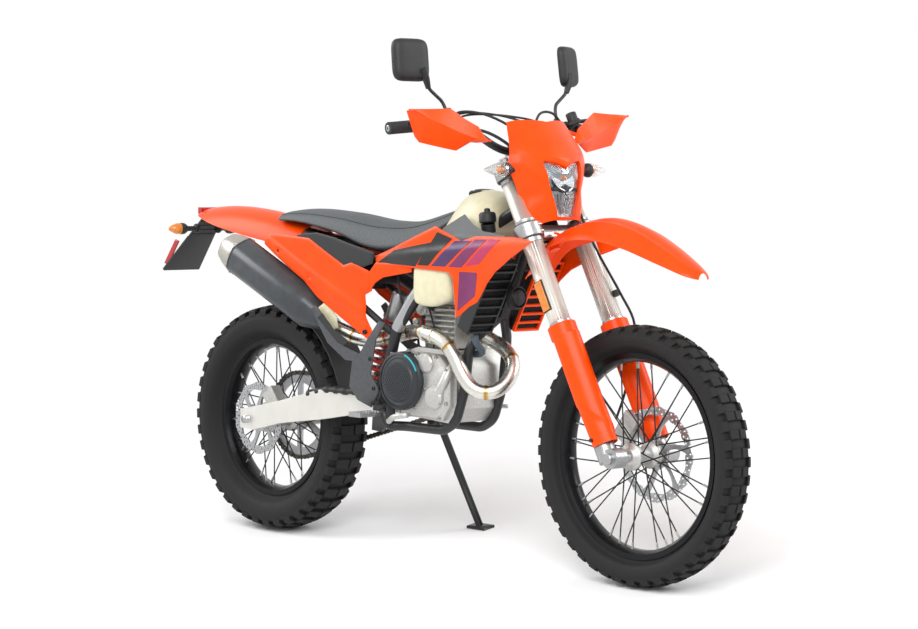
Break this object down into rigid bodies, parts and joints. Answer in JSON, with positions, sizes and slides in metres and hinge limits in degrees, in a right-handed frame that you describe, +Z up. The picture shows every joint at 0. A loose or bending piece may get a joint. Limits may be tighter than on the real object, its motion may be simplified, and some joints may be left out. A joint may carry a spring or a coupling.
{
  "type": "enduro motorcycle",
  "caption": "Off-road enduro motorcycle with wire wheels, block-tread tyres, long-travel upside-down fork, high mudguards, flat seat and side exhaust, leaning on its side stand.",
  "frame": {"origin": "middle of the footprint of the leaning bike, on the ground", "axes": "+X forward along the wheels, +Y to the bike's left, +Z up; the bike itself leans 9 degrees to its left about X"},
  "size_m": [2.3356, 0.8486, 1.5199],
  "materials": {
    "tyre_rubber": "rough",
    "black_rim": "satin",
    "black_wire": "satin",
    "cast_aluminium": "satin",
    "disc_steel": "brushed",
    "fork_silver": "smooth",
    "black_anodised": "satin",
    "black_plastic": "matte",
    "orange_plastic": "gloss",
    "dark_guard": "textured",
    "clear_lens": "clear",
    "red_lens": "gloss",
    "frame_paint": "satin",
    "black_cover": "satin",
    "heat_steel": "satin",
    "muffler_coat": "satin",
    "seat_cover": "textured",
    "tank_plastic": "satin",
    "cap_black": "gloss",
    "chain_steel": "brushed",
    "spring_paint": "gloss",
    "hose_rubber": "satin"
  },
  "bodies": {
    "chassis": {"main_frame": "frame_paint", "airbox": "black_plastic", "chain_guides": "black_plastic", "coolant_hoses": "hose_rubber", "crankcase": "cast_aluminium", "cylinder": "cast_aluminium", "cylinder_head": "black_cover", "drive_chain": "chain_steel", "engine_covers": "black_cover", "exhaust_header": "heat_steel", "foot_levers": "disc_steel", "foot_pegs": "cast_aluminium", "frame_guards": "dark_guard", "fuel_cap": "cap_black", "fuel_tank": "tank_plastic", "horn": "black_plastic", "inner_fender": "black_plastic", "muffler": "muffler_coat", "plate_holder": "black_plastic", "radiator_guards": "black_plastic", "radiators": "black_plastic", "rear_axle": "disc_steel", "rear_caliper": "black_anodised", "rear_fender": "orange_plastic", "rear_indicators": "black_plastic", "seat": "seat_cover", "shock_absorber": "spring_paint", "shrouds": "orange_plastic", "side_panels": "orange_plastic", "subframe": "black_plastic", "swingarm": "cast_aluminium", "tail_light": "red_lens"},
    "steering": {"triple_clamps": "cast_aluminium", "fork_tubes": "fork_silver", "fork_legs": "fork_silver", "fork_guards": "orange_plastic", "front_axle": "disc_steel", "handlebar": "black_anodised", "bar_controls": "black_plastic", "hand_guards": "orange_plastic", "mirrors": "black_plastic", "headlight_mask": "orange_plastic", "headlight": "clear_lens", "front_indicators": "black_plastic", "front_fender": "orange_plastic", "front_caliper": "black_anodised"},
    "front_wheel": {"front_tyre": "tyre_rubber", "front_rim": "black_rim", "front_hub": "cast_aluminium", "front_spokes": "black_wire", "front_disc": "disc_steel"},
    "rear_wheel": {"rear_tyre": "tyre_rubber", "rear_rim": "black_rim", "rear_hub": "cast_aluminium", "rear_spokes": "black_wire", "rear_disc": "disc_steel", "rear_sprocket": "disc_steel"},
    "stand": {"side_stand": "black_anodised"}
  },
  "joints": [
    {"name": "steering", "type": "hinge", "parent": "chassis", "child": "steering", "pos_m": [0.39073, -0.02614, 1.06001], "axis": [-0.4617, 0.1388, 0.8761], "range_deg": [-42, 42]},
    {"name": "front_wheel_spin", "type": "hinge", "parent": "steering", "child": "front_wheel", "pos_m": [0.81578, -0.13897, 0.34767], "axis": [0, 0.9877, -0.1564], "continuous": true},
    {"name": "rear_wheel_spin", "type": "hinge", "parent": "chassis", "child": "rear_wheel", "pos_m": [-0.67122, -0.14038, 0.33878], "axis": [0, 0.9877, -0.1564], "continuous": true},
    {"name": "stand_fold", "type": "hinge", "parent": "chassis", "child": "stand", "pos_m": [-0.11062, -0.00422, 0.34247], "axis": [0.1917, 0.9513, 0.2413], "range_deg": [0, 105]}
  ]
}
